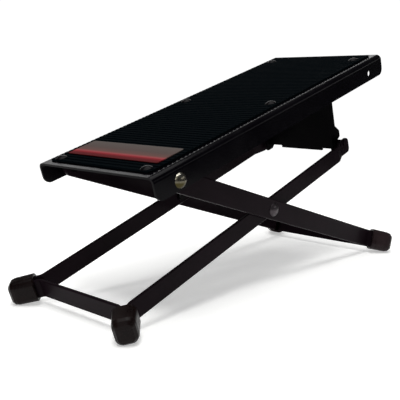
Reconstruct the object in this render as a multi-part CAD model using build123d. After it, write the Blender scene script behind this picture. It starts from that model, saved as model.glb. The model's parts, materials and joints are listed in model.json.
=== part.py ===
# Folding guitar footrest: a slanted sheet-steel deck with a ribbed rubber mat, carried by two
# crossed leg frames of bent steel strip and held up by a rack bracket that hooks on a rod.
# Millimetres. X runs from the deck's low end to its high end, Y across, Z up from the ground.
# The near side is -Y. The origin is on the ground under the middle of the whole footrest.
from build123d import *
import math
import os

os.makedirs("parts", exist_ok=True)

# Deck
deck_length = 278.0
deck_width = 112.0
deck_gauge = 1.5
deck_bend = 4.0            # outer radius of the long bends
flange_depth = 16.2
flange_corner = 5.5
deck_slope = 16.3          # degrees
pivot_inset = 21.7         # from the low end, and of the spare holes from the high end
pivot_depth = 10.3         # below the deck's top

# Mat
mat_end_inset = 4.8
mat_side_inset = 7.2
mat_base = 0.8
rib_height = 0.5
rib_pitch = 4.0
rib_top = 2.0
rib_foot = 2.8
mat_corner = 3.0

# Label plate on the mat
label_start = 17.2         # from the deck's low end
label_length = 24.6
label_side_inset = 12.2
label_thickness = 0.5
label_corner = 1.5

# Mat rivets
mat_rivet_end_inset = 9.6
mat_rivet_high_inset = 21.0
mat_rivet_middle_share = 0.495
mat_rivet_side_inset = 14.2
mat_head_radius = 4.0
mat_head_height = 1.5
mat_shank_radius = 2.0
mat_tail_radius = 3.0
mat_tail_height = 0.8

# Leg frames
strip_gauge = 2.5
outer_strip = 14.6         # strip width
inner_strip = 13.4
strip_chamfer = 0.6
outer_slope = 17.6         # degrees, down towards the high end
inner_slope = 18.5         # degrees, up towards the high end
foot_overhang = 5.7        # foot bar's outer face past the deck's high end when folded flat
cross_share = 0.412        # cross pivot's place along the outer arm
outer_end_round = 7.0
inner_end_round = 4.0
ear_loop = 3.0             # centre radius of the hairpin at each foot corner
ear_reach = 15.6           # frame corner to the hairpin's tip
ear_bend = 2.5

# Inner frame's top ends and rod
rod_end_inset = 47.5       # rod to the deck's high end, along the deck
rod_rise = 3.5
top_overreach = 5.5        # rod to the arm's end
joggle_run = 17.0          # rod to the joggle's start
joggle_length = 10.0
joggle_step = 4.0
joggle_bend = 4.0
rod_radius = 2.25
rod_head_radius = 3.2
rod_head_height = 1.0

# Foot caps
cap_overlap = 0.1          # cap's rim behind the frame's corner
cap_wide = 15.7
cap_tall = 18.0
cap_corner = 5.6
cap_end_round = 5.0
cap_rim_chamfer = 0.5
cap_draft = 1.5            # degrees
cap_end_wall = 2.8

# Rivets and washers at the pivots
deck_side_gap = 3.8        # flange to outer frame
cross_side_gap = 2.8       # outer frame to inner frame
pivot_shank_radius = 2.5
pivot_head_radius = 5.0
pivot_head_height = 2.8
cross_head_height = 2.4
tail_radius = 3.8
tail_height = 1.5
washer_radius = 6.0
running_gap = 0.08
side_play = 0.1
seat_gap = 0.05

# Rack
rack_side_gap = 3.6        # rack's flange to the joggled arm
rack_gauge = 2.0
rack_lead = 5.5            # hinge to rod, along the deck
rack_hinge_depth = 6.0     # below the deck's top
rack_hinge_radius = 2.0
rack_boss_radius = 4.2
rack_flange_back = 4.0     # hinge to the flange's low edge
rod_gap = 0.3
tooth_front = 8.7
tooth_height = 5.2
tooth_slope = 45.0         # degrees
seat_slope = 25.0          # degrees
lip_front = 7.2
lip_height = 6.6
web_above_lip = 4.35
tongue_side_inset = 14.4
tongue_drop = 2.0
hook_round = 0.8
lug_gauge = 1.5
lug_half_length = 5.0
lug_foot = 8.0
lug_round = 3.5
pin_head_radius = 3.0
pin_head_height = 1.0

overrun = 10.0             # how far cutting tools pass the faces

# Places worked out from the sizes above
deck_inner_half = deck_width / 2 - deck_gauge
outer_half = deck_inner_half - deck_side_gap
inner_half = outer_half - strip_gauge - cross_side_gap
ear_half = ear_loop + strip_gauge / 2
cap_length = cap_overlap + ear_reach + cap_end_wall
joggled_half = inner_half - joggle_step
mat_thickness = mat_base + rib_height
mat_rivet_side = deck_width / 2 - mat_rivet_side_inset
outer_reach = deck_length - pivot_inset + foot_overhang    # deck pivot to the foot bar's outer face
cross_reach = cross_share * outer_reach
rack_half = joggled_half - strip_gauge - rack_side_gap
tongue_half = rack_half - tongue_side_inset
rack_web_front = rack_lead - rod_radius - rod_gap


def direction(slope):
    # unit vector along a line that rises by slope degrees towards +X
    return Vector(math.cos(math.radians(slope)), 0, math.sin(math.radians(slope)))


def across_y(shape):
    # turns a shape that stands on +Z to point towards -Y
    return Rot(90, 0, 0) * shape


def mirrored_y(shape):
    return mirror(shape, about=Plane.XZ)


def nearest_vertex(plan, x, y):
    return plan.vertices().sort_by_distance((x, y, 0))[0]


def rivet(head_radius, head_height, shank_radius, grip, foot_radius, foot_height):
    # the head's flat side is at Z = 0, and the shank hangs down to the closed tail
    dome_radius = (head_radius ** 2 + head_height ** 2) / (2 * head_height)
    tail_z = -grip - foot_height
    outline = RadiusArc((0, head_height), (head_radius, 0), dome_radius)
    outline += Polyline((head_radius, 0), (shank_radius, 0), (shank_radius, -grip), (foot_radius, -grip),
                        (foot_radius, tail_z), (0, tail_z), (0, head_height))
    return revolve(Plane.XZ * make_face(outline), Axis.Z)


def washer(outer_radius, bore_radius, thickness):
    # its underside is at Z = 0
    return extrude(Circle(outer_radius) - Circle(bore_radius), thickness)


def leg_plan(half, foot, back, joggled):
    # plan of all that lies inside the strip's outer face: X along the arms, foot bar at +X
    if joggled:
        start = rod_reach - joggle_run
        far = start + joggle_length
        side = [(-back - overrun, joggled_half), (-far, joggled_half), (-start, half), (foot, half)]
    else:
        side = [(-back - overrun, half), (foot, half)]
    plan = make_face(Polyline(*side, *[(x, -y) for x, y in reversed(side)], close=True))
    for turn in (45, -45):
        sign = math.copysign(1, turn)
        straight = ear_reach + ear_half
        ear = Pos((ear_reach - 3 * ear_half) / 2, 0) * Rectangle(straight, 2 * ear_half)
        ear += Pos(ear_reach - ear_half, 0) * Circle(ear_half)
        plan += Pos(foot, sign * half) * Rot(0, 0, turn) * ear
    mouth = math.sqrt(2) * ear_half
    for sign in (1, -1):
        bends = [(foot - mouth, sign * half), (foot, sign * (half - mouth))]
        plan = fillet([nearest_vertex(plan, x, y) for x, y in bends], ear_bend)
        if joggled:
            bends = [(x, sign * y) for x, y in side[1:3]]
            plan = fillet([nearest_vertex(plan, x, y) for x, y in bends], joggle_bend)
    return plan


def leg_frame(width, half, foot, back, end_round, joggled, holes):
    # one strip on edge: near arm, ear, foot bar, ear, far arm
    plan = leg_plan(half, foot, back, joggled)
    strip = plan - offset(plan, -strip_gauge, kind=Kind.ARC)
    strip -= Pos(-back - overrun, 0) * Rectangle(2 * overrun, 4 * half)
    frame = extrude(strip, width / 2, both=True)
    edges = frame.faces().filter_by(Axis.Z).edges()
    frame = chamfer(edges, min(strip_chamfer, 0.3 * strip_gauge))
    length = back + foot + ear_reach + overrun
    side = Plane.XZ * Pos(length / 2 - back, 0) * RectangleRounded(length, width, end_round)
    frame &= extrude(side, 2 * half, both=True)
    for x, z, radius in holes:
        frame -= Pos(x, 0, z) * across_y(Cylinder(radius, 4 * half))
    return frame


def foot_cap(width):
    # rubber boot over an ear: X outwards from the frame's corner, pocket open towards -X
    ring = RectangleRounded(cap_wide, cap_tall, cap_corner)
    cap = extrude(Plane.YZ.offset(-cap_overlap) * ring, cap_length - cap_end_round, taper=cap_draft)
    # the round end as three bevels whose corners lie on a quarter circle
    for start in (0, 30, 60):
        depth = math.sin(math.radians(start + 30)) - math.sin(math.radians(start))
        end = cap.faces().sort_by(Axis.X)[-1]
        cap += extrude(end, depth * cap_end_round, taper=start + 15)
    pocket_half = ear_half + seat_gap
    pocket_tip = ear_reach + seat_gap
    straight = pocket_tip - pocket_half + overrun
    plan = Pos(straight / 2 - overrun, 0) * Rectangle(straight, 2 * pocket_half)
    plan += Pos(pocket_tip - pocket_half, 0) * Circle(pocket_half)
    rim = cap.faces().sort_by(Axis.X)[0]
    cap = chamfer(rim.edges(), cap_rim_chamfer)
    return cap - extrude(plan, width / 2 + seat_gap, both=True)


def on_corner(cap, foot, half, side):
    # puts a cap on the ear at the far (side 1) or near (side -1) foot corner
    return Pos(foot, side * half, 0) * Rot(0, 0, side * 45) * cap


outer_cap = foot_cap(outer_strip)
inner_cap = foot_cap(inner_strip)


def drop_below_corner(cap, slope):
    # how far the cap's lowest point lies below the frame's corner
    tilted = Rot(0, slope, 0) * on_corner(cap, 0, 0, 1)
    return -tilted.bounding_box().min.Z


# Side view, with the deck pivot's X at 0 for the moment
pivot_z = outer_reach * math.sin(math.radians(outer_slope)) + drop_below_corner(outer_cap, outer_slope)
deck_pivot = Vector(0, 0, pivot_z)
cross_pivot = deck_pivot + direction(-outer_slope) * cross_reach
inner_drop = drop_below_corner(inner_cap, inner_slope)
inner_reach = (cross_pivot.Z - inner_drop) / math.sin(math.radians(inner_slope))

# The rod lies on the inner arm's line where that comes to its set place along the deck
cross_along = (cross_pivot - deck_pivot).dot(direction(deck_slope)) + pivot_inset
rise_along = rod_rise * direction(inner_slope + 90).dot(direction(deck_slope))
rod_along = deck_length - rod_end_inset
rod_reach = (rod_along - cross_along - rise_along) / direction(inner_slope).dot(direction(deck_slope))
top_reach = rod_reach + top_overreach
rod = cross_pivot + direction(inner_slope) * rod_reach + direction(inner_slope + 90) * rod_rise

# Transforms into place, each from the piece's own frame
deck_place = Pos(*deck_pivot) * Rot(0, -deck_slope, 0) * Pos(-pivot_inset, 0, pivot_depth)
outer_place = Pos(*deck_pivot) * Rot(0, outer_slope, 0)
inner_place = Pos(*cross_pivot) * Rot(0, -inner_slope, 0) * Rot(0, 0, 180)

# The rack's hinge, in the deck's own frame (X along the deck, Z up from its top)
rod_depth = pivot_depth - (rod - deck_pivot).dot(direction(deck_slope + 90))
hinge_along = rod_along - rack_lead
rod_drop = rod_depth - rack_hinge_depth
rack_place = deck_place * Pos(hinge_along, 0, -rack_hinge_depth)


def make_deck_plate():
    channel = Pos(0, -flange_depth / 2) * Rectangle(deck_width, flange_depth)
    channel = fillet(channel.vertices().group_by(Axis.Y)[-1], deck_bend)
    hollow = Pos(0, -flange_depth / 2 - deck_gauge) * Rectangle(2 * deck_inner_half, flange_depth)
    hollow = fillet(hollow.vertices().group_by(Axis.Y)[-1], deck_bend - deck_gauge)
    plate = extrude(Plane.YZ * (channel - hollow), deck_length)
    side = Pos(deck_length / 2, -flange_depth / 2) * Rectangle(deck_length, flange_depth)
    side = fillet(side.vertices().group_by(Axis.Y)[0], flange_corner)
    plate &= extrude(Plane.XZ * side, deck_width, both=True)
    hole = across_y(Cylinder(pivot_shank_radius + seat_gap, 2 * deck_width))
    for x in (pivot_inset, deck_length - pivot_inset):
        plate -= Pos(x, 0, -pivot_depth) * hole
    for x, y in mat_rivet_places():
        plate -= Pos(x, y, 0) * Cylinder(mat_shank_radius + seat_gap, 4 * deck_gauge)
    return plate


def mat_rivet_places():
    along = (mat_rivet_end_inset, mat_rivet_middle_share * deck_length, deck_length - mat_rivet_high_inset)
    return [(x, y) for x in along for y in (-mat_rivet_side, mat_rivet_side)]


def make_tread_mat():
    # a flat sheet with ribs that run across it
    length = deck_length - 2 * mat_end_inset
    width = deck_width - 2 * mat_side_inset
    count = int((length - rib_foot) / rib_pitch) + 1
    first = (deck_length - (count - 1) * rib_pitch) / 2
    start = mat_end_inset
    outline = [(start, 0), (start, mat_base)]
    for i in range(count):
        middle = first + i * rib_pitch
        outline += [(middle - rib_foot / 2, mat_base), (middle - rib_top / 2, mat_thickness),
                    (middle + rib_top / 2, mat_thickness), (middle + rib_foot / 2, mat_base)]
    outline += [(start + length, mat_base), (start + length, 0)]
    mat = extrude(Plane.XZ * make_face(Polyline(*outline, close=True)), width / 2, both=True)
    plan = Pos(deck_length / 2, 0) * RectangleRounded(length, width, mat_corner)
    mat &= extrude(plan, mat_thickness)
    for x, y in mat_rivet_places():
        mat -= Pos(x, y, 0) * Cylinder(mat_shank_radius + seat_gap, 4 * mat_thickness)
    return mat


def make_mat_rivets():
    grip = mat_thickness + deck_gauge
    one = rivet(mat_head_radius, mat_head_height, mat_shank_radius, grip, mat_tail_radius, mat_tail_height)
    return Compound([Pos(x, y, mat_thickness) * one for x, y in mat_rivet_places()])


def make_label_plate():
    plan = RectangleRounded(label_length, deck_width - 2 * label_side_inset, label_corner)
    return Pos(label_start + label_length / 2, 0, mat_thickness) * extrude(plan, label_thickness)


def make_deck_pivot_rivet():
    # near side: through flange, washer and outer arm
    grip = deck_gauge + deck_side_gap + strip_gauge + side_play
    one = rivet(pivot_head_radius, pivot_head_height, pivot_shank_radius, grip, tail_radius, tail_height)
    return Pos(pivot_inset, -deck_width / 2, -pivot_depth) * across_y(one)


def make_deck_pivot_washer():
    one = washer(washer_radius, pivot_shank_radius + seat_gap, deck_side_gap - 2 * side_play)
    return Pos(pivot_inset, -outer_half - side_play, -pivot_depth) * across_y(one)


def make_cross_pivot_rivet():
    grip = 2 * strip_gauge + cross_side_gap + side_play
    one = rivet(pivot_head_radius, cross_head_height, pivot_shank_radius, grip, tail_radius, tail_height)
    return Pos(cross_reach, -outer_half, 0) * across_y(one)


def make_cross_pivot_washer():
    one = washer(washer_radius, pivot_shank_radius + seat_gap, cross_side_gap - 2 * side_play)
    return Pos(cross_reach, -inner_half - side_play, 0) * across_y(one)


def make_outer_leg_frame():
    pivot_hole = pivot_shank_radius + running_gap
    rivet_hole = pivot_shank_radius + seat_gap
    holes = [(0, 0, pivot_hole), (cross_reach, 0, rivet_hole)]
    return leg_frame(outer_strip, outer_half, outer_reach, outer_strip / 2, outer_end_round, False, holes)


def make_inner_leg_frame():
    holes = [(0, 0, pivot_shank_radius + running_gap), (-rod_reach, rod_rise, rod_radius + seat_gap)]
    return leg_frame(inner_strip, inner_half, inner_reach, top_reach, inner_end_round, True, holes)


def make_top_rod():
    # a rod with both ends riveted over outside the joggled arm ends
    rod_body = across_y(Cylinder(rod_radius, 2 * joggled_half))
    head = Pos(0, joggled_half + rod_head_height / 2, 0) * across_y(Cylinder(rod_head_radius, rod_head_height))
    return Pos(-rod_reach, 0, rod_rise) * (rod_body + head + mirrored_y(head))


def rack_side():
    # side view of the rack's flange from its hinge: X along the deck, Y up
    reach = rod_radius + rod_gap
    sine, cosine = math.sin(math.radians(seat_slope)), math.cos(math.radians(seat_slope))
    seat = (rack_lead - reach * sine, reach * cosine - rod_drop)
    tip_y = seat[1] + (tooth_front - seat[0]) * math.tan(math.radians(seat_slope))
    tooth_top = tip_y + tooth_height
    rise = (tooth_front - rack_web_front) * math.tan(math.radians(tooth_slope))
    lip_top = -rod_drop - reach
    lip_bottom = lip_top - lip_height
    outline = [(-rack_flange_back, 0), (-rack_flange_back, lip_bottom), (rack_web_front, lip_bottom),
               (lip_front, lip_top - lip_height / 2), (lip_front, lip_top), (rack_web_front, lip_top),
               (rack_web_front, seat[1]), seat, (tooth_front, tip_y), (tooth_front, tooth_top),
               (rack_web_front, tooth_top + rise), (rack_web_front, 0)]
    side = make_face(Polyline(*outline, close=True))
    rounded = [(tooth_front, tip_y), (tooth_front, tooth_top), (lip_front, lip_top),
               (lip_front, lip_top - lip_height / 2), (rack_web_front, lip_bottom), (-rack_flange_back, lip_bottom)]
    side = fillet([nearest_vertex(side, x, y) for x, y in rounded], hook_round)
    side += Circle(rack_boss_radius)
    return side, lip_bottom


def make_rack_bracket():
    # a channel whose web bears on the rod's low side, and a hook on each flange round the rod
    side, bottom = rack_side()
    rack = extrude(Plane.XZ * side, rack_half, both=True)
    room_half = rack_half - rack_gauge
    web_back = rack_web_front - rack_gauge
    web_bottom = bottom + web_above_lip
    deep = Box(overrun, 2 * room_half, 3 * rod_drop, align=(Align.MAX, Align.CENTER, Align.CENTER))
    front = Box(overrun, 2 * room_half, 3 * rod_drop, align=(Align.MIN, Align.CENTER, Align.CENTER))
    rack -= Pos(web_back, 0, 0) * deep + Pos(rack_web_front, 0, 0) * front
    above = Box(4 * rack_boss_radius, 2 * room_half, overrun, align=(Align.CENTER, Align.CENTER, Align.MIN))
    rack -= Pos(0, 0, -rack_boss_radius) * above
    gap_plan = Pos(0, web_bottom - overrun / 2) * Rectangle(2 * room_half, overrun)
    gap_plan -= Pos(0, web_bottom) * Rectangle(2 * tongue_half, 2 * tongue_drop)
    rack -= extrude(Plane.YZ * gap_plan, 2 * rack_web_front, both=True)
    return rack - across_y(Cylinder(rack_hinge_radius + running_gap, 4 * rack_half))


def make_rack_hinge_pin():
    reach = rack_half + side_play + lug_gauge
    pin = across_y(Cylinder(rack_hinge_radius, 2 * reach))
    head = Pos(0, reach + pin_head_height / 2, 0) * across_y(Cylinder(pin_head_radius, pin_head_height))
    return pin + head + mirrored_y(head)


def make_rack_lug():
    # near side: an angle spot-welded under the deck, with the pin's hole in its leg
    inner = rack_half + side_play
    top = rack_hinge_depth - deck_gauge
    leg = Rectangle(2 * lug_half_length, 2 * top)
    leg = fillet(leg.vertices().group_by(Axis.Y)[0], lug_round)
    lug = Pos(0, -inner, 0) * extrude(Plane.XZ * leg, lug_gauge)
    foot_box = Box(2 * lug_half_length, lug_foot, lug_gauge, align=(Align.CENTER, Align.MAX, Align.MAX))
    lug += Pos(0, -inner, top) * foot_box
    return lug - across_y(Cylinder(rack_hinge_radius + seat_gap, 4 * rack_half))


def both_sides(name, near):
    return {name + "_near": near, name + "_far": mirrored_y(near)}


def build():
    deck_parts = {
        "deck_plate": make_deck_plate(),
        "tread_mat": make_tread_mat(),
        "mat_rivets": make_mat_rivets(),
        "label_plate": make_label_plate(),
        **both_sides("deck_pivot_rivet", make_deck_pivot_rivet()),
        **both_sides("deck_pivot_washer", make_deck_pivot_washer()),
    }
    rack_parts = {
        "rack_bracket": make_rack_bracket(),
        "rack_hinge_pin": make_rack_hinge_pin(),
        **both_sides("rack_lug", make_rack_lug()),
    }
    outer_parts = {
        "outer_leg_frame": make_outer_leg_frame(),
        **both_sides("outer_foot_cap", on_corner(outer_cap, outer_reach, outer_half, -1)),
        **both_sides("cross_pivot_rivet", make_cross_pivot_rivet()),
        **both_sides("cross_pivot_washer", make_cross_pivot_washer()),
    }
    # the inner frame is turned end for end, so its caps are named for the side that they end on
    inner_parts = {
        "inner_leg_frame": make_inner_leg_frame(),
        "top_rod": make_top_rod(),
        "inner_foot_cap_near": on_corner(inner_cap, inner_reach, inner_half, 1),
        "inner_foot_cap_far": on_corner(inner_cap, inner_reach, inner_half, -1),
    }
    placed = {}
    for place, parts in ((deck_place, deck_parts), (rack_place, rack_parts),
                         (outer_place, outer_parts), (inner_place, inner_parts)):
        for name, shape in parts.items():
            placed[name] = place * shape
    return placed


parts = build()
box = Compound(list(parts.values())).bounding_box()
middle = (box.min.X + box.max.X) / 2
for name, shape in parts.items():
    export_step(Pos(-middle, 0, 0) * shape, f"parts/{name}.step")

rack_hinge = deck_pivot + direction(deck_slope) * (hinge_along - pivot_inset)
rack_hinge += direction(deck_slope + 90) * (pivot_depth - rack_hinge_depth)
places = {"deck_pivot": deck_pivot, "cross_pivot": cross_pivot, "rod": rod, "rack_hinge": rack_hinge}
for name, place in places.items():
    print(name, round(place.X - middle, 3), round(place.Z, 3))
print("inner frame reach", round(inner_reach, 2), "lowest point", round(box.min.Z, 3))
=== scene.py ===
import bpy
import json
import math
import numpy as np
from mathutils import Matrix, Vector


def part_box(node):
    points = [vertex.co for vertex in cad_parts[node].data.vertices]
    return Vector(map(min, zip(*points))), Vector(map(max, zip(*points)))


# Folding footrest: painted sheet-steel deck with a ribbed rubber mat, strip-steel legs, rubber foot caps.
# Metres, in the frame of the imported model: X along the deck towards its high end, Y across, Z up.
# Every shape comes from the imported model. Here it gets its finishes, the floor, the light and the camera.

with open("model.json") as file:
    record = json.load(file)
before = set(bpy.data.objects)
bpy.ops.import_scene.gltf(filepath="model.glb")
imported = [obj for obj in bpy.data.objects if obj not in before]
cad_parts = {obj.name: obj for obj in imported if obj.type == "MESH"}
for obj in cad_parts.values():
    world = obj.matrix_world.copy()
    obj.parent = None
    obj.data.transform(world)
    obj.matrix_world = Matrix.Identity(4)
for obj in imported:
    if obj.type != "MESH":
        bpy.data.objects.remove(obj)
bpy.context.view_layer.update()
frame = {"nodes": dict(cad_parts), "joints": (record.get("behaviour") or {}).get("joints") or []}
nodes = frame["nodes"]

mm = 0.001


# Colours and nodes

def linear(hexColour):
    # sRGB hex to the linear values that Blender works in
    parts = [int(hexColour[i:i + 2], 16) / 255 for i in (1, 3, 5)]
    return [p / 12.92 if p <= 0.04045 else ((p + 0.055) / 1.055) ** 2.4 for p in parts] + [1.0]


def addNode(tree, kind, links=None, values=None, stops=None, **settings):
    # one node with its own settings, its input values, its links as input: (node, output),
    # and the stops of a colour ramp as (place, hex)
    node = tree.nodes.new("ShaderNode" + kind)
    for name, value in settings.items():
        setattr(node, name, value)
    for socket, value in (values or {}).items():
        node.inputs[socket].default_value = value
    for socket, (source, output) in (links or {}).items():
        tree.links.new(source.outputs[output], node.inputs[socket])
    if stops:
        elements = node.color_ramp.elements
        while len(elements) < len(stops):
            elements.new(0.5)
        for element, (place, hexColour) in zip(elements, stops):
            element.position = place
            element.color = linear(hexColour)
    return node


def newFinish(name, fixed):
    # an empty material with its shader; what is the same all over goes on the shader itself
    finish = bpy.data.materials.new(name)
    finish.use_nodes = True
    tree = finish.node_tree
    tree.nodes.clear()
    shader = addNode(tree, "BsdfPrincipled", values=fixed)
    addNode(tree, "OutputMaterial", links={"Surface": (shader, "BSDF")})
    return finish, tree, shader


# Painted steel

powderCoat = {
    "deep": "#040306", "thin": "#09080b",   # cured black polyester, a little greyer where it lies thin
    "patch": 38.0,                          # mm between darker and lighter places
    "patchDetail": 5.0, "patchRough": 0.6,  # the noise that lays them
    "thinFrom": 0.38, "thinTo": 0.68,       # its values where the thin places begin and are full
    "rough": (0.16, 0.26),                  # in the deep and in the thin places
    "roughFrom": 0.35, "roughTo": 0.7,      # its values between which the coat grows rougher
    "peel": 1.6,                            # mm between the waves of its orange peel
    "peelDepth": 0.006,                     # mm
    "peelDetail": 1.5, "peelStrength": 0.6,
    "shine": 0.04,
    "coat": 0.03, "coatRough": 0.1,         # the gloss on top
}
legPaint = {**powderCoat, "deep": "#120c10", "thin": "#191116", "rough": (0.28, 0.4), "shine": 0.015}
# the rack: the deck's coat drawn darker and matt, as painted shade for its place under the deck
rackShadedPaint = {**powderCoat, "deep": "#030304", "thin": "#070607", "rough": (0.3, 0.42), "shine": 0.02,
             "coat": 0.0}
rivetPaint = {**powderCoat, "deep": "#060507", "thin": "#0b090b", "rough": (0.24, 0.34), "shine": 0.05,
              "coat": 0.0}


def makePowderCoat(name, look):
    # gloss black powder coat on mild steel: soft reflections broken by fine orange peel
    finish, tree, shader = newFinish(name, {
        "Metallic": 0.0, "IOR": 1.5, "Specular IOR Level": look["shine"],
        "Coat Weight": look["coat"], "Coat Roughness": look["coatRough"]})
    place = addNode(tree, "TexCoord")
    patches = addNode(tree, "TexNoise", links={"Vector": (place, "Object")},
                      values={"Scale": 1 / (look["patch"] * mm), "Detail": look["patchDetail"],
                              "Roughness": look["patchRough"]})
    colour = addNode(tree, "ValToRGB", links={"Fac": (patches, "Fac")},
                     stops=[(look["thinFrom"], look["deep"]), (look["thinTo"], look["thin"])])
    tree.links.new(colour.outputs["Color"], shader.inputs["Base Color"])
    rough = addNode(tree, "MapRange", links={"Value": (patches, "Fac")},
                    values={"From Min": look["roughFrom"], "From Max": look["roughTo"],
                            "To Min": look["rough"][0], "To Max": look["rough"][1]})
    tree.links.new(rough.outputs["Result"], shader.inputs["Roughness"])
    peel = addNode(tree, "TexNoise", links={"Vector": (place, "Object")},
                   values={"Scale": 1 / (look["peel"] * mm), "Detail": look["peelDetail"]})
    bump = addNode(tree, "Bump", links={"Height": (peel, "Fac")},
                   values={"Strength": look["peelStrength"], "Distance": look["peelDepth"] * mm})
    tree.links.new(bump.outputs["Normal"], shader.inputs["Normal"])
    return finish


deckCoat = makePowderCoat("powder_coat_deck", powderCoat)
legCoat = makePowderCoat("powder_coat_legs", legPaint)
rackShadedCoat = makePowderCoat("powder_coat_rack_painted_shade", rackShadedPaint)
rivetCoat = makePowderCoat("black_coat_mat_rivets", rivetPaint)
print("powder coat: orange peel at", powderCoat["peel"], "mm")


# Rubber

matRubber = {
    "deep": "#010508", "dusty": "#05090c",
    "dust": 60.0,                           # mm between dusty places
    "dustDetail": 6.0, "dustRough": 0.65,   # the noise that lays them
    "dustFrom": 0.42, "dustTo": 0.75,       # its values where the dust begins and is full
    "rough": 0.8,
    "roughLess": 0.06, "roughMore": 0.14,   # how much less where it is clean, and more under the dust
    "roughFrom": 0.3, "roughTo": 0.75,      # the noise's values between which it grows rougher
    "grain": 0.9,           # mm, moulded matt grain, drawn coarser than the real one to show
    "grainDepth": 0.03,     # mm
    "grainDetail": 3.0, "grainStrength": 0.7,
    "shine": 0.01,
}
innerCap = {**matRubber, "deep": "#0d0707", "dusty": "#180f0e", "dust": 14.0, "rough": 0.26,
            "grain": 0.7, "grainDepth": 0.012, "shine": 0.08}
# the outer caps: the same rubber drawn lighter and redder than the inner caps
outerCap = {**innerCap, "deep": "#21191b", "dusty": "#2e2426"}


def makeRubber(name, look):
    # moulded black rubber: dull, soft highlights, and a little grey dust in patches
    finish, tree, shader = newFinish(name, {
        "Metallic": 0.0, "IOR": 1.52, "Specular IOR Level": look["shine"]})
    place = addNode(tree, "TexCoord")
    dust = addNode(tree, "TexNoise", links={"Vector": (place, "Object")},
                   values={"Scale": 1 / (look["dust"] * mm), "Detail": look["dustDetail"],
                           "Roughness": look["dustRough"]})
    colour = addNode(tree, "ValToRGB", links={"Fac": (dust, "Fac")},
                     stops=[(look["dustFrom"], look["deep"]), (look["dustTo"], look["dusty"])])
    tree.links.new(colour.outputs["Color"], shader.inputs["Base Color"])
    rough = addNode(tree, "MapRange", links={"Value": (dust, "Fac")},
                    values={"From Min": look["roughFrom"], "From Max": look["roughTo"],
                            "To Min": look["rough"] - look["roughLess"],
                            "To Max": look["rough"] + look["roughMore"]})
    tree.links.new(rough.outputs["Result"], shader.inputs["Roughness"])
    grain = addNode(tree, "TexNoise", links={"Vector": (place, "Object")},
                    values={"Scale": 1 / (look["grain"] * mm), "Detail": look["grainDetail"]})
    bump = addNode(tree, "Bump", links={"Height": (grain, "Fac")},
                   values={"Strength": look["grainStrength"], "Distance": look["grainDepth"] * mm})
    tree.links.new(bump.outputs["Normal"], shader.inputs["Normal"])
    return finish


treadRubber = makeRubber("moulded_rubber_mat", matRubber)
innerCapRubber = makeRubber("moulded_rubber_inner_caps", innerCap)
outerCapRubber = makeRubber("moulded_rubber_outer_caps", outerCap)
print("rubber: mat grain at", matRubber["grain"], "mm, cap grain at", innerCap["grain"], "mm")


# Zinc-plated steel

zincSteel = {
    "bright": ("#96938a", "#746e5c"), "brightRough": 0.2,   # pale zinc with a yellow passivation tinge
    "dull": ("#4d484b", "#322d31"), "dullRough": 0.36,      # the same zinc tarnished to a dark grey
    "plain": ("#2a292a", "#1d1c1d"), "plainRough": 0.34,    # the small parts inside the frames, drawn darker than the other zinc as painted shade
    "shadeBelow": "#3a3520",                 # painted shade: the lower part of the head drawn dark olive, standing in for a dark reflection
    "shadeBelowFrom": 2.2, "shadeBelowTo": -1.6,  # mm above the pivot
    "tail": "#0d0b0d",                  # the closed tails drawn near-black
    "tailFrom": 48.5, "tailTo": 50.0,   # mm from the middle, where the near-black ends
    "cloud": 4.0,                       # mm between clouds of tarnish
    "cloudDetail": 4.0,
    "cloudFrom": 0.4, "cloudTo": 0.66,  # noise values where the second colour begins and is full
    "roughLess": 0.06, "roughMore": 0.12,   # how much less or more than its roughness over the clouds
    "roughFrom": 0.3, "roughTo": 0.7,   # noise values between which it grows rougher
    "draw": 0.6,                        # mm between the fine marks of forming
    "drawDepth": 0.01,                  # mm
    "drawDetail": 2.0, "drawStrength": 0.4,
}
mixShare, mixFirst, mixSecond, mixResult = 0, 6, 7, 2   # the sockets of a Mix node for colours


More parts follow.
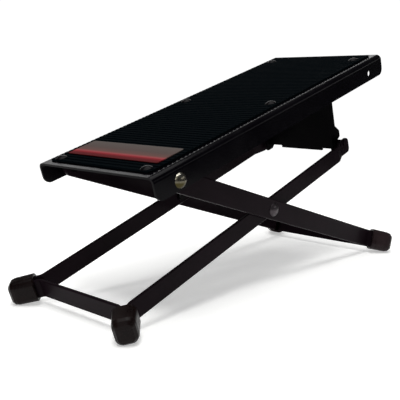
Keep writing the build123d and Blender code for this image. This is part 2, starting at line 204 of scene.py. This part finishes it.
def makeZincSteel(name, tones, roughness, shadeBelowHeight=None, darkTails=False):
    # zinc-plated rivet steel, cold-formed: clear small highlights with fine marks
    look = zincSteel
    finish, tree, shader = newFinish(name, {"Metallic": 1.0})
    place = addNode(tree, "TexCoord")
    parts = addNode(tree, "SeparateXYZ", links={"Vector": (place, "Object")})
    cloud = addNode(tree, "TexNoise", links={"Vector": (place, "Object")},
                    values={"Scale": 1 / (look["cloud"] * mm), "Detail": look["cloudDetail"]})
    colour = (addNode(tree, "ValToRGB", links={"Fac": (cloud, "Fac")},
                      stops=[(look["cloudFrom"], tones[0]), (look["cloudTo"], tones[1])]), "Color")
    if shadeBelowHeight is not None:
        # share of painted shade: grows downwards over the head
        fall = addNode(tree, "MapRange", links={"Value": (parts, "Z")},
                       values={"From Min": shadeBelowHeight + look["shadeBelowTo"] * mm,
                               "From Max": shadeBelowHeight + look["shadeBelowFrom"] * mm,
                               "To Min": 1.0, "To Max": 0.0})
        colour = (addNode(tree, "Mix", links={mixShare: (fall, "Result"), mixFirst: colour},
                          values={mixSecond: linear(look["shadeBelow"])}, data_type="RGBA"), mixResult)
    if darkTails:
        # share of near-black: whole on the tails, none on the heads
        away = addNode(tree, "Math", links={0: (parts, "Y")}, operation="ABSOLUTE")
        cover = addNode(tree, "MapRange", links={"Value": (away, "Value")},
                        values={"From Min": look["tailFrom"] * mm, "From Max": look["tailTo"] * mm,
                                "To Min": 1.0, "To Max": 0.0})
        colour = (addNode(tree, "Mix", links={mixShare: (cover, "Result"), mixFirst: colour},
                          values={mixSecond: linear(look["tail"])}, data_type="RGBA"), mixResult)
    source, output = colour
    tree.links.new(source.outputs[output], shader.inputs["Base Color"])
    spread = addNode(tree, "MapRange", links={"Value": (cloud, "Fac")},
                     values={"From Min": look["roughFrom"], "From Max": look["roughTo"],
                             "To Min": roughness - look["roughLess"],
                             "To Max": roughness + look["roughMore"]})
    tree.links.new(spread.outputs["Result"], shader.inputs["Roughness"])
    marks = addNode(tree, "TexNoise", links={"Vector": (place, "Object")},
                    values={"Scale": 1 / (look["draw"] * mm), "Detail": look["drawDetail"]})
    bump = addNode(tree, "Bump", links={"Height": (marks, "Fac")},
                   values={"Strength": look["drawStrength"], "Distance": look["drawDepth"] * mm})
    tree.links.new(bump.outputs["Normal"], shader.inputs["Normal"])
    return finish


pivotHeight = sum(corner[2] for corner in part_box("deck_pivot_rivet_near")) / 2
# the deck pivot heads: painted shade darkens their lower part
brightRivet = makeZincSteel("zinc_steel_bright", zincSteel["bright"], zincSteel["brightRough"],
                            shadeBelowHeight=pivotHeight, darkTails=True)
dullRivet = makeZincSteel("zinc_steel_dull", zincSteel["dull"], zincSteel["dullRough"], darkTails=True)
plainZinc = makeZincSteel("zinc_steel_washers", zincSteel["plain"], zincSteel["plainRough"])
print("zinc: stain from", zincSteel["shadeBelowFrom"], "to", zincSteel["shadeBelowTo"], "mm about the pivot")


# Label

label = {
    "slope": 16.3,                              # degrees, the deck's
    "pivotInset": 21.7, "pivotDepth": 10.3,     # mm, the deck's pivot from its low end and below its top
    "start": 17.2, "end": 41.8,                 # mm from the deck's low end
    "bands": [      # the same way along: a red band with a paler rim, then grey with a red cast
        (17.2, "#4c1416"), (20.5, "#58161b"), (22.6, "#7e2329"), (24.0, "#8a4042"), (26.4, "#5e433f"),
        (32.0, "#4f4340"), (41.8, "#514b48")],
    "rough": 0.45, "coat": 0.03, "coatRough": 0.15,
}


def makeLabelFilm(look):
    # gloss printed film on a thin plate: a red band at the low edge, grey above that lightens upwards
    finish, tree, shader = newFinish("printed_label_film", {
        "Metallic": 0.0, "Roughness": look["rough"], "IOR": 1.5, "Specular IOR Level": 0.0,
        "Coat Weight": look["coat"], "Coat Roughness": look["coatRough"]})
    place = addNode(tree, "TexCoord")
    # the mapping turns the deck's slope level and puts 0 at the deck's low end
    slope = math.radians(look["slope"])
    pivot = next(joint["pos_m"] for joint in frame["joints"] if joint["name"] == "deck_pivot")
    low = Matrix.Rotation(slope, 3, "Y") @ Vector(pivot)
    low += Vector((-look["pivotInset"], 0.0, look["pivotDepth"])) * mm
    along = addNode(tree, "Mapping", links={"Vector": (place, "Object")}, vector_type="POINT",
                    values={"Location": (-low.x, 0.0, -low.z), "Rotation": (0.0, slope, 0.0)})
    parts = addNode(tree, "SeparateXYZ", links={"Vector": (along, "Vector")})
    share = addNode(tree, "MapRange", links={"Value": (parts, "X")},
                    values={"From Min": look["start"] * mm, "From Max": look["end"] * mm,
                            "To Min": 0.0, "To Max": 1.0})
    length = look["end"] - look["start"]
    bands = addNode(tree, "ValToRGB", links={"Fac": (share, "Result")},
                    stops=[((x - look["start"]) / length, tone) for x, tone in look["bands"]])
    tree.links.new(bands.outputs["Color"], shader.inputs["Base Color"])
    print("label:", len(look["bands"]), "tones over", round(length, 1), "mm")
    return finish


labelFilm = makeLabelFilm(label)

finishes = {
    deckCoat: ["deck_plate", "rack_lug_near", "rack_lug_far"],
    legCoat: ["outer_leg_frame", "inner_leg_frame", "top_rod"],
    rackShadedCoat: ["rack_bracket"],
    treadRubber: ["tread_mat"],
    innerCapRubber: ["inner_foot_cap_near", "inner_foot_cap_far"],
    outerCapRubber: ["outer_foot_cap_near", "outer_foot_cap_far"],
    brightRivet: ["deck_pivot_rivet_near", "deck_pivot_rivet_far"],
    dullRivet: ["cross_pivot_rivet_near", "cross_pivot_rivet_far"],
    plainZinc: ["deck_pivot_washer_near", "deck_pivot_washer_far", "cross_pivot_washer_near",
                "cross_pivot_washer_far", "rack_hinge_pin"],
    rivetCoat: ["mat_rivets"],
    labelFilm: ["label_plate"],
}
for finish, names in finishes.items():
    for name in names:
        for holder in nodes[name].material_slots:
            holder.material = finish
print("finishes:", len(finishes), "on", sum(len(names) for names in finishes.values()), "nodes")


# Floor and light

studio = {
    "floorRadius": 0.62, "floorSides": 96,
    "floorColour": "#f4f4f2", "floorRough": 0.8, "floorShine": 0.2, "floorGlow": 0.42,
    "white": "#ffffff",
    "backdrop": 1.05,       # what the camera sees past the floor
    "room": 0.07,           # what lights the object from all round
}
lamps = {   # width and length, watts, place, and the point it faces
    "overhead": ((1.3, 1.3), 18.0, (-0.1, 0.0, 1.4), (0.0, 0.0, 0.0)),
    "key": ((0.22, 0.22), 2.6, (-0.49, -0.31, 1.12), (-0.1, 0.0, 0.05)),
    "front_left": ((0.5, 0.7), 2.0, (-1.3, -0.6, 0.7), (0.0, 0.0, 0.1)),
    "edge_strip": ((1.3, 0.1), 1.2, (0.62, -1.0, 0.55), (0.0, 0.0, 0.1)),
    "card_behind": ((1.45, 0.34), 2.9, (1.0, 0.9, 0.81), (0.0, 0.0, 0.13)),
    "card_low": ((1.3, 0.22), 1.3, (0.78, 0.95, 0.29), (0.0, 0.0, 0.13)),
}


def makeFloor():
    # a plain pale round board: points at even angles round a circle, joined as one face
    angles = np.linspace(0, 2 * np.pi, studio["floorSides"], endpoint=False)
    rim = np.stack([np.cos(angles), np.sin(angles), np.zeros_like(angles)], 1) * studio["floorRadius"]
    mesh = bpy.data.meshes.new("floor")
    mesh.from_pydata(rim.tolist(), [], [tuple(range(len(rim)))])
    floor = bpy.data.objects.new("floor", mesh)
    bpy.context.scene.collection.objects.link(floor)
    # matt white board that glows a little, so that it looks as white as the backdrop past its rim
    finish = newFinish("pale_floor", {
        "Base Color": linear(studio["floorColour"]), "Roughness": studio["floorRough"],
        "Specular IOR Level": studio["floorShine"], "Emission Color": linear(studio["white"]),
        "Emission Strength": studio["floorGlow"]})[0]
    mesh.materials.append(finish)


def makeWorld():
    # a white backdrop for the eye, and a darker room for the light, so that black paint stays black
    world = bpy.data.worlds.new("studio")
    bpy.context.scene.world = world
    world.use_nodes = True
    tree = world.node_tree
    tree.nodes.clear()
    seen = addNode(tree, "LightPath")
    strength = addNode(tree, "MapRange", links={"Value": (seen, "Is Camera Ray")},
                       values={"To Min": studio["room"], "To Max": studio["backdrop"]})
    backdrop = addNode(tree, "Background", links={"Strength": (strength, "Result")},
                       values={"Color": linear(studio["white"])})
    addNode(tree, "OutputWorld", links={"Surface": (backdrop, "Background")})


def addLamp(name, size, power, place, aim):
    # a soft rectangular lamp that faces a point
    lamp = bpy.data.lights.new(name, "AREA")
    lamp.shape = "RECTANGLE"
    lamp.size, lamp.size_y = size
    lamp.energy = power
    holder = bpy.data.objects.new(name, lamp)
    holder.location = place
    holder.rotation_euler = (Vector(aim) - Vector(place)).to_track_quat("-Z", "Y").to_euler()
    bpy.context.scene.collection.objects.link(holder)


makeFloor()
makeWorld()
for name, (size, power, place, aim) in lamps.items():
    addLamp(name, size, power, place, aim)
bpy.context.scene.view_settings.view_transform = "Standard"
print("floor and", len(lamps), "lamps")


# Camera, from the fit to the photograph's edges

shot = {
    "place": (-0.39490, -0.33287, 0.14806),
    "turn": -47.78, "tilt": -9.792, "roll": 0.112,      # degrees: about Z, up, and about the line of sight
    "lens": 60.56, "sensor": 36.0,                      # mm
    "near": 0.02, "far": 50.0,                          # metres between which it draws
}


def makeCamera():
    # a plain lens, turned about Z, then tilted from level, then rolled about its line of sight
    data = bpy.data.cameras.new("photo_view")
    data.lens = shot["lens"]
    data.sensor_width = shot["sensor"]
    data.clip_start, data.clip_end = shot["near"], shot["far"]
    camera = bpy.data.objects.new("photo_view", data)
    camera.location = shot["place"]
    turn, tilt, roll = (math.radians(shot[name]) for name in ("turn", "tilt", "roll"))
    level = math.pi / 2     # from looking straight down to looking along the floor
    aim = (Matrix.Rotation(turn, 3, "Z") @ Matrix.Rotation(level + tilt, 3, "X")
           @ Matrix.Rotation(roll, 3, "Z"))
    camera.rotation_euler = aim.to_euler()
    bpy.context.scene.collection.objects.link(camera)
    bpy.context.scene.camera = camera


makeCamera()
bpy.context.view_layer.update()
